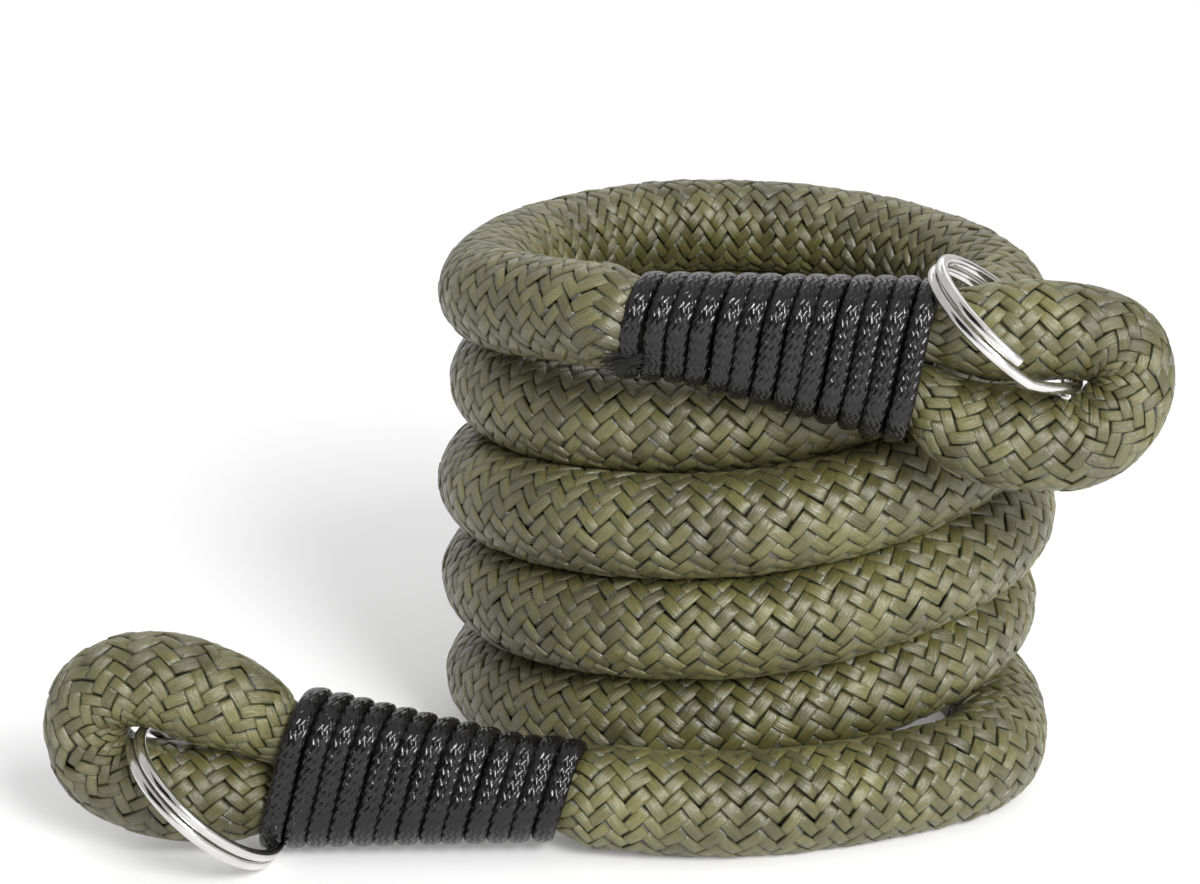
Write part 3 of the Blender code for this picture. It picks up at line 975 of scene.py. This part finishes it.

# %% [markdown]
# ## The rope's length
# The rope is soft and of a fixed length. It starts and ends in its own bindings.

# %% [markdown]
# ## Effects for the finishes
# Three small effects are built once, as node groups with named inputs and one output. Two of them come
# back in several finishes, and the third keeps the wax easy to read. Written out in full, every node
# takes many lines. So three helpers come first: one opens a group, one adds a node and fills its
# sockets by name or, as i0, i1 and so on, by number, and one adds a sum or another operation.

# %% Helpers for nodes
def new_group(name, inputs, outputs):
    group = bpy.data.node_groups.new(name, "ShaderNodeTree")
    for label, kind, value in inputs:
        socket = group.interface.new_socket(label, in_out="INPUT", socket_type=kind)
        if value is not None:
            socket.default_value = value
    for label, kind in outputs:
        group.interface.new_socket(label, in_out="OUTPUT", socket_type=kind)
    return group, group.nodes.new("NodeGroupInput"), group.nodes.new("NodeGroupOutput")


def add(tree, kind, settings=None, **values):
    node = tree.nodes.new(kind)
    for label, value in (settings or {}).items():
        setattr(node, label, value)
    for label, value in values.items():
        numbered = label[0] == "i" and label[1:].isdigit()
        socket = node.inputs[int(label[1:]) if numbered else label.replace("_", " ")]
        if isinstance(value, bpy.types.NodeSocket):
            tree.links.new(value, socket)
        else:
            socket.default_value = value
    return node


def maths(tree, operation, first, second=None):
    others = {} if second is None else {"i1": second}
    return add(tree, "ShaderNodeMath", {"operation": operation}, i0=first, **others).outputs[0]


# %% [markdown]
# The first effect is fine streaks: noise that is drawn out along a map. It makes the filaments in a
# yarn, the smears in wax and the polishing lines on wire.

# %% Fine streaks
def make_streaks():
    group, given, made = new_group("fine_streaks", (
        ("Vector", "NodeSocketVector", None), ("Along", "NodeSocketFloat", 1.0),
        ("Across", "NodeSocketFloat", 10.0)), (("Streaks", "NodeSocketFloat"),))
    stretch = add(group, "ShaderNodeCombineXYZ", X=given.outputs["Along"], Y=given.outputs["Across"],
                  Z=given.outputs["Along"])
    drawn = add(group, "ShaderNodeVectorMath", {"operation": "MULTIPLY"}, i0=given.outputs["Vector"],
                i1=stretch.outputs["Vector"])
    noise = add(group, "ShaderNodeTexNoise", Vector=drawn.outputs["Vector"], Scale=1.0, Detail=3.0,
                Roughness=0.62)
    level = add(group, "ShaderNodeMapRange", Value=noise.outputs["Fac"], From_Min=0.3, From_Max=0.7)
    group.links.new(level.outputs["Result"], made.inputs["Streaks"])
    return group


streaks_group = make_streaks()
print("nodes of the fine streaks:", len(streaks_group.nodes))

# %% [markdown]
# The second is the relief of a fine braid. Two sets of waves cross at a slant. Where both have the
# same sign one set lies on top, and elsewhere the other, which gives threads that pass over and under.

# %% Crossed threads
def make_crossed_threads():
    group, given, made = new_group("crossed_threads", (
        ("Vector", "NodeSocketVector", None), ("Along", "NodeSocketFloat", 2.0),
        ("Around", "NodeSocketFloat", 8.0)), (("Height", "NodeSocketFloat"),))
    parts = add(group, "ShaderNodeSeparateXYZ", Vector=given.outputs["Vector"])
    along = maths(group, "MULTIPLY", parts.outputs["X"], given.outputs["Along"])
    around = maths(group, "MULTIPLY", parts.outputs["Y"], given.outputs["Around"])
    waves = []
    for way in ("ADD", "SUBTRACT"):
        phase = maths(group, "MULTIPLY", maths(group, way, around, along), math.pi)
        waves.append(maths(group, "SINE", phase))
    over = maths(group, "GREATER_THAN", maths(group, "MULTIPLY", waves[0], waves[1]), 0.0)
    threads = [maths(group, "ABSOLUTE", wave) for wave in waves]
    height = add(group, "ShaderNodeMix", {"data_type": "FLOAT"}, i0=over, i2=threads[1],
                 i3=threads[0])
    group.links.new(height.outputs[0], made.inputs["Height"])
    return group


threads_group = make_crossed_threads()
print("nodes of the crossed threads:", len(threads_group.nodes))

# %% [markdown]
# The third is a colour that wanders between a dark and a light tone over the whole piece, because
# nothing that is dyed, waxed or plated has quite the same tone all over.

# %% Wandering tone
def make_wandering_tone():
    group, given, made = new_group("wandering_tone", (
        ("Vector", "NodeSocketVector", None), ("Scale", "NodeSocketFloat", 100.0),
        ("Shift", "NodeSocketFloat", 0.0), ("Dark", "NodeSocketColor", None),
        ("Light", "NodeSocketColor", None)), (("Tone", "NodeSocketColor"),))
    noise = add(group, "ShaderNodeTexNoise", Vector=given.outputs["Vector"],
                Scale=given.outputs["Scale"], Detail=4.0, Roughness=0.6)
    level = add(group, "ShaderNodeMapRange", Value=noise.outputs["Fac"], From_Min=0.3, From_Max=0.7)
    place = maths(group, "ADD", level.outputs["Result"], given.outputs["Shift"])
    mix = add(group, "ShaderNodeMix", {"data_type": "RGBA"}, i0=place, i6=given.outputs["Dark"],
              i7=given.outputs["Light"])
    group.links.new(mix.outputs[2], made.inputs["Tone"])
    return group


tone_group = make_wandering_tone()
print("nodes of the wandering tone:", len(tone_group.nodes))

# %% [markdown]
# ## Starting a material
# Every finish starts from the Principled shader with a roughness, a share of metal and a gloss. The
# groups are placed in it, levels are brought between a low and a high value, and heights become bumps
# that may lie one over the other. Most finishes have a base colour that wanders over the piece.

# %% Starting a material
def new_material(name, roughness, metallic=0.0, specular=0.5):
    material = bpy.data.materials.new(name)
    material.use_nodes = True
    shader = material.node_tree.nodes["Principled BSDF"]
    shader.inputs["Roughness"].default_value = roughness
    shader.inputs["Metallic"].default_value = metallic
    shader.inputs["Specular IOR Level"].default_value = specular
    return material, material.node_tree, shader


def placed(tree, group, **values):
    return add(tree, "ShaderNodeGroup", {"node_tree": group}, **values).outputs[0]


def between(tree, level, low, high):
    return add(tree, "ShaderNodeMapRange", Value=level, To_Min=low, To_Max=high).outputs["Result"]


def bump(tree, height, strength, distance, below=None):
    node = add(tree, "ShaderNodeBump", Height=height, Strength=strength, Distance=distance)
    if below is not None:
        tree.links.new(below, node.inputs["Normal"])
    return node.outputs["Normal"]


def wandering_base(tree, shader, scale, dark, light):
    places = add(tree, "ShaderNodeTexCoord").outputs["Object"]
    tone = placed(tree, tone_group, Vector=places, Scale=scale, Dark=(*dark, 1.0), Light=(*light, 1.0))
    tree.links.new(tone, shader.inputs["Base Color"])
    return places


# %% [markdown]
# ## The olive yarn
# Each slip is a flat bundle of very fine filaments, which show as streaks along it and give it a
# satin gloss: the light spreads across the filaments, so a short bright band lies over each slip. The
# slips differ a little in tone, and the tone of the whole rope wanders. Where a slip dives under its
# neighbours, shade is painted into its colour, down to near black. A soft sheen stands for the fine
# loose hairs.

# %% Yarn
def make_yarn():
    material, tree, shader = new_material("olive_yarn", 0.5, specular=0.95)
    threads = add(tree, "ShaderNodeUVMap", {"uv_map": "threads"}).outputs["UV"]
    places = add(tree, "ShaderNodeTexCoord").outputs["Object"]
    shade = add(tree, "ShaderNodeAttribute", {"attribute_name": "shade"}).outputs["Fac"]
    groove_shade = add(tree, "ShaderNodeAttribute", {"attribute_name": "groove_shade"}).outputs["Fac"]
    coarse = placed(tree, streaks_group, Vector=threads, Along=0.8, Across=9.0)
    fine = placed(tree, streaks_group, Vector=threads, Along=2.0, Across=26.0)
    tone = placed(tree, tone_group, Vector=places, Scale=90.0, Shift=between(tree, shade, -0.38, 0.22),
                  Dark=(0.060, 0.056, 0.013, 1.0), Light=(0.150, 0.140, 0.042, 1.0))
    streaked_tone = add(tree, "ShaderNodeVectorMath", {"operation": "SCALE"}, Vector=tone,
              Scale=between(tree, coarse, 0.58, 1.32))
    # Painted shade: the lower a point of a slip lies, the closer its colour is pulled to near black, as
    # shade in the grooves of the braid.
    groove_shade_mask = add(tree, "ShaderNodeMapRange", Value=groove_shade, From_Min=0.17, From_Max=0.56)
    painted_groove_shade = add(tree, "ShaderNodeMix", {"data_type": "RGBA"}, i0=groove_shade_mask.outputs["Result"],
               i6=streaked_tone.outputs["Vector"], i7=(0.008, 0.0065, 0.0015, 1.0))
    tree.links.new(painted_groove_shade.outputs[2], shader.inputs["Base Color"])
    tree.links.new(between(tree, fine, 0.25, 0.42), shader.inputs["Roughness"])
    ridges = bump(tree, coarse, strength=0.7, distance=0.00012)
    relief = bump(tree, fine, strength=0.4, distance=0.00005, below=ridges)
    tree.links.new(relief, shader.inputs["Normal"])
    tangent = add(tree, "ShaderNodeTangent", {"direction_type": "UV_MAP", "uv_map": "threads"})
    tree.links.new(tangent.outputs["Tangent"], shader.inputs["Tangent"])
    shader.inputs["Anisotropic"].default_value = 0.65
    shader.inputs["Anisotropic Rotation"].default_value = 0.25
    shader.inputs["Sheen Weight"].default_value = 0.07
    shader.inputs["Sheen Roughness"].default_value = 0.4
    shader.inputs["Sheen Tint"].default_value = (0.85, 0.83, 0.62, 1.0)
    return material


yarn = make_yarn()
for stretch in stretches:
    stretch.data.materials.append(yarn)
print("yarn nodes:", len(yarn.node_tree.nodes))

# %% [markdown]
# The core is only seen as the shade between the slips. It is the same yarn without light on it: dark,
# rough and a little uneven.

# %% Core
def make_core():
    material, tree, shader = new_material("rope_shade", 0.9, specular=0.1)
    places = wandering_base(tree, shader, 600.0, dark=(0.012, 0.010, 0.004), light=(0.030, 0.026, 0.011))
    grain = placed(tree, streaks_group, Vector=places, Along=1500.0, Across=1500.0)
    tree.links.new(bump(tree, grain, strength=0.6, distance=0.0002), shader.inputs["Normal"])
    return material


rope_core.data.materials.append(make_core())
print("core finish:", rope_core.data.materials[0].name)

# %% [markdown]
# ## The waxed cord
# The black cord is itself a fine braid that was drawn through wax. Its crossing threads show as small
# diamonds, which glint one by one under the lamp, and the wax lies in smears that are duller than the
# thread. The relief is kept to the outer face: at the sides, where two turns press on each other, the
# threads are flattened, and a relief there would only flicker.

# %% Wax
def make_wax():
    material, tree, shader = new_material("waxed_cord", 0.3, specular=0.42)
    threads = add(tree, "ShaderNodeUVMap", {"uv_map": "threads"}).outputs["UV"]
    wandering_base(tree, shader, 350.0, dark=(0.0020, 0.0019, 0.0021), light=(0.0085, 0.0080, 0.0083))
    smear = placed(tree, streaks_group, Vector=threads, Along=1.3, Across=4.0)
    tree.links.new(between(tree, smear, 0.10, 0.25), shader.inputs["Roughness"])
    uneven = add(tree, "ShaderNodeTexNoise", Vector=threads, Scale=2.2, Detail=2.0)
    drift = add(tree, "ShaderNodeVectorMath", {"operation": "SCALE"}, Vector=uneven.outputs["Color"],
                Scale=0.06)
    shifted = add(tree, "ShaderNodeVectorMath", {"operation": "ADD"}, i0=threads,
                  i1=drift.outputs["Vector"])
    diamonds = placed(tree, threads_group, Vector=shifted.outputs["Vector"], Along=1.8, Around=12.0)
    round_cord = add(tree, "ShaderNodeSeparateXYZ", Vector=threads).outputs["Y"]
    shown = add(tree, "ShaderNodeMapRange", Value=maths(tree, "ABSOLUTE", round_cord), From_Min=0.13,
                From_Max=0.23, To_Min=1.0, To_Max=0.0)
    facing = maths(tree, "MULTIPLY", diamonds, shown.outputs["Result"])
    threaded = bump(tree, facing, strength=1.0, distance=0.00008)
    relief = bump(tree, smear, strength=0.6, distance=0.00008, below=threaded)
    tree.links.new(relief, shader.inputs["Normal"])
    return material


wax = make_wax()
for winding in windings:
    winding.data.materials.append(wax)
print("wax nodes:", len(wax.node_tree.nodes))

# %% [markdown]
# The frayed end has the same black, but the wax has come off, so it is dull.

# %% Frayed threads
def make_fray():
    material, tree, shader = new_material("frayed_thread", 0.7, specular=0.3)
    wandering_base(tree, shader, 900.0, dark=(0.004, 0.004, 0.004), light=(0.016, 0.015, 0.014))
    return material


frayed_end.data.materials.append(make_fray())
print("fray finish:", frayed_end.data.materials[0].name)

# %% [markdown]
# ## The ring steel
# The rings are nickel-plated steel wire, polished by use. What makes them look like metal is mostly
# what they reflect. The wire itself only adds faint lines round the ring and tiny dull spots.

# %% Steel
def make_steel():
    material, tree, shader = new_material("ring_steel", 0.14, metallic=1.0)
    places = wandering_base(tree, shader, 260.0, dark=(0.60, 0.585, 0.565), light=(0.78, 0.77, 0.755))
    worn = placed(tree, streaks_group, Vector=places, Along=900.0, Across=2600.0)
    tree.links.new(between(tree, worn, 0.09, 0.21), shader.inputs["Roughness"])
    tree.links.new(bump(tree, worn, strength=0.12, distance=0.00003), shader.inputs["Normal"])
    return material


steel = make_steel()
for ring in rings:
    ring.data.materials.append(steel)
print("steel nodes:", len(steel.node_tree.nodes))

# %% [markdown]
# ## The table
# The strap stands on a plain white table that runs far back, so there is no horizon in the picture. The
# table glows a little by itself, which is painted light: that keeps the shadows pale. The room round it
# is white and lights the strap evenly.

# %% Table and room
TABLE_ACROSS = 6.0


def sheet(name, across, placing, finish):
    shape = bmesh.new()
    bmesh.ops.create_grid(shape, x_segments=1, y_segments=1, size=across / 2, matrix=placing)
    mesh = finished_mesh(name, shape)
    mesh.materials.append(finish)
    add_object(name, mesh)


white, _, white_shader = new_material("white_table", 0.7, specular=0.2)
white_shader.inputs["Base Color"].default_value = (0.84, 0.84, 0.84, 1.0)
# Painted light: the table glows a little, though it is no lamp, so that the shadows on it stay pale.
white_shader.inputs["Emission Color"].default_value = (1.0, 1.0, 1.0, 1.0)
white_shader.inputs["Emission Strength"].default_value = 0.14
sheet("floor", TABLE_ACROSS, Matrix.Identity(4), white)

world = bpy.data.worlds.new("studio")
bpy.context.scene.world = world
world.use_nodes = True
room = world.node_tree.nodes["Background"]
room.inputs["Color"].default_value = (1.0, 1.0, 1.0, 1.0)
room.inputs["Strength"].default_value = 0.70
print("table across in m:", TABLE_ACROSS)

# %% [markdown]
# ## The lamps
# A softbox above the right front is the key. A smaller one, lower on the same side, puts the glints
# on the wax and the gloss on the slips. A weak one behind on the right lifts the rim of the coil, and
# a wide one far behind keeps the back of the table white. A single strong lamp would do too, but its
# shadows would be hard and its glints small.

# %% Lamps
LAMPS = (
    # name, place, aim, size, watts
    ("key", Vector((0.34, -0.62, 0.52)), TARGET, (0.30, 0.30), 4.8),
    ("window", Vector((0.28, -0.68, 0.36)), TARGET, (0.20, 0.28), 3.4),
    ("rim", Vector((0.38, 0.42, 0.60)), TARGET, (0.50, 0.50), 0.5),
    ("backdrop", Vector((0.00, 1.30, 0.60)), Vector((0.00, 1.30, 0.00)), (1.40, 0.80), 4.0),
)

for name, place, aim, size, watts in LAMPS:
    light = bpy.data.lights.new(name, "AREA")
    light.shape = "RECTANGLE"
    light.size, light.size_y = size
    light.energy = watts
    lamp = add_object(name, light)
    lamp.location = place
    lamp.rotation_euler = (aim - place).to_track_quat("-Z", "Y").to_euler()
print("lamps:", len(bpy.data.lights))

# %% [markdown]
# ## Dark cards
# Two dark cards beside the camera's view are there for the rings alone: polished metal in a white
# room looks like white plastic until something dark is there to be reflected. The colours are shown
# as they are, without the film look that Blender would add.

# %% Dark cards
CARDS = (
    # name, place, across
    ("left_card", Vector((-0.34, -0.34, 0.26)), 0.38),
    ("right_card", Vector((0.40, 0.16, 0.20)), 0.22),
)

black, _, black_shader = new_material("black_card", 0.9, specular=0.1)
black_shader.inputs["Base Color"].default_value = (0.01, 0.01, 0.01, 1.0)
for name, place, across in CARDS:
    facing = (TARGET - place).to_track_quat("Z", "Y").to_matrix().to_4x4()
    sheet(name, across, Matrix.Translation(place) @ facing, black)
bpy.context.scene.view_settings.view_transform = "Standard"
print("view transform:", bpy.context.scene.view_settings.view_transform)
